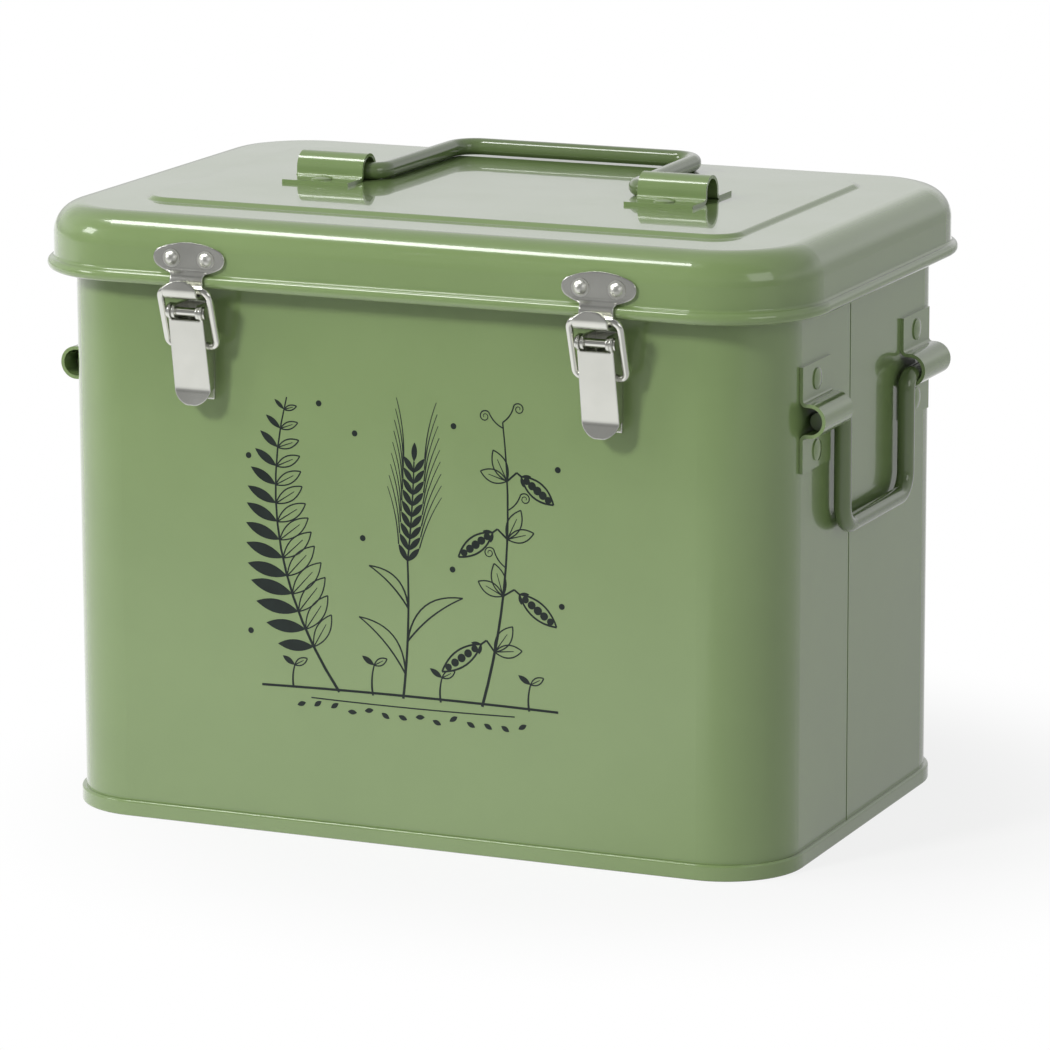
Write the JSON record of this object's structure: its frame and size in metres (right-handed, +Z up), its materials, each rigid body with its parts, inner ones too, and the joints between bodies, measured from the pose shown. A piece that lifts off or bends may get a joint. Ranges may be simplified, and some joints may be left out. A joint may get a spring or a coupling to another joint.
{
  "type": "latched storage tin",
  "caption": "Rectangular sheet-steel storage tin with a hinged lid, toggle latches, a wire lid handle and wire side handles.",
  "frame": {"origin": "middle of the underside, on the surface that the tin stands on", "axes": "+Z up, -Y out of the latched front, +X to the right seen from the front"},
  "size_m": [0.215, 0.1542, 0.1679],
  "materials": {
    "green_enamel": "glossy sage green enamel",
    "handle_enamel": "glossy sage green enamel on wire",
    "hinge_enamel": "glossy sage green enamel on hinges",
    "latch_nickel": "bright nickel plate"
  },
  "bodies": {
    "tin": {"body_wall": "green_enamel", "base_pan": "green_enamel", "right_saddle_front": "green_enamel", "right_saddle_rear": "green_enamel", "right_saddle_rivets": "green_enamel", "left_saddle_front": "green_enamel", "left_saddle_rear": "green_enamel", "left_saddle_rivets": "green_enamel", "latch_base_left": "latch_nickel", "latch_base_rivets_left": "latch_nickel", "latch_pin_left": "latch_nickel", "hinge_body_leaf_left": "hinge_enamel", "hinge_pin_left": "hinge_enamel", "latch_base_right": "latch_nickel", "latch_base_rivets_right": "latch_nickel", "latch_pin_right": "latch_nickel", "hinge_body_leaf_right": "hinge_enamel", "hinge_pin_right": "hinge_enamel", "hinge_body_rivets": "hinge_enamel"},
    "lid": {"lid_shell": "green_enamel", "lid_saddle_left": "green_enamel", "lid_saddle_right": "green_enamel", "lid_saddle_rivets": "green_enamel", "strike_left": "latch_nickel", "strike_rivets_left": "latch_nickel", "hinge_lid_leaf_left": "hinge_enamel", "strike_right": "latch_nickel", "strike_rivets_right": "latch_nickel", "hinge_lid_leaf_right": "hinge_enamel", "hinge_lid_rivets": "hinge_enamel"},
    "lid_handle": {"lid_handle": "handle_enamel"},
    "right_handle": {"right_handle": "handle_enamel"},
    "left_handle": {"left_handle": "handle_enamel"},
    "latch_lever_left": {"latch_lever_left": "latch_nickel"},
    "latch_loop_left": {"latch_loop_left": "latch_nickel"},
    "latch_lever_right": {"latch_lever_right": "latch_nickel"},
    "latch_loop_right": {"latch_loop_right": "latch_nickel"}
  },
  "joints": [
    {"name": "lid_hinge", "type": "hinge", "parent": "tin", "child": "lid", "pos_m": [0, 0.07455, 0.1404], "axis": [-1, 0, 0], "range_deg": [0, 205]},
    {"name": "lid_handle_swing", "type": "hinge", "parent": "lid", "child": "lid_handle", "pos_m": [0, 0, 0.1633], "axis": [1, 0, 0], "range_deg": [0, 180]},
    {"name": "right_handle_swing", "type": "hinge", "parent": "tin", "child": "right_handle", "pos_m": [0.103, 0, 0.11444], "axis": [0, -1, 0], "range_deg": [0, 165]},
    {"name": "left_handle_swing", "type": "hinge", "parent": "tin", "child": "left_handle", "pos_m": [-0.103, 0, 0.11444], "axis": [0, 1, 0], "range_deg": [0, 165]},
    {"name": "latch_lever_swing_left", "type": "hinge", "parent": "tin", "child": "latch_lever_left", "pos_m": [-0.0564, -0.0727, 0.1366], "axis": [-1, 0, 0], "range_deg": [0, 90]},
    {"name": "latch_loop_swing_left", "type": "hinge", "parent": "latch_lever_left", "child": "latch_loop_left", "pos_m": [-0.0564, -0.0696, 0.1275], "axis": [1, 0, 0], "range_deg": [0, 60]},
    {"name": "latch_lever_swing_right", "type": "hinge", "parent": "tin", "child": "latch_lever_right", "pos_m": [0.0564, -0.0727, 0.1366], "axis": [-1, 0, 0], "range_deg": [0, 90]},
    {"name": "latch_loop_swing_right", "type": "hinge", "parent": "latch_lever_right", "child": "latch_loop_right", "pos_m": [0.0564, -0.0696, 0.1275], "axis": [1, 0, 0], "range_deg": [0, 60]}
  ],
  "couplings": [
    {"joint": "latch_loop_swing_left", "follows": "latch_lever_swing_left", "ratio": 0.5},
    {"joint": "latch_loop_swing_right", "follows": "latch_lever_swing_right", "ratio": 0.5}
  ]
}
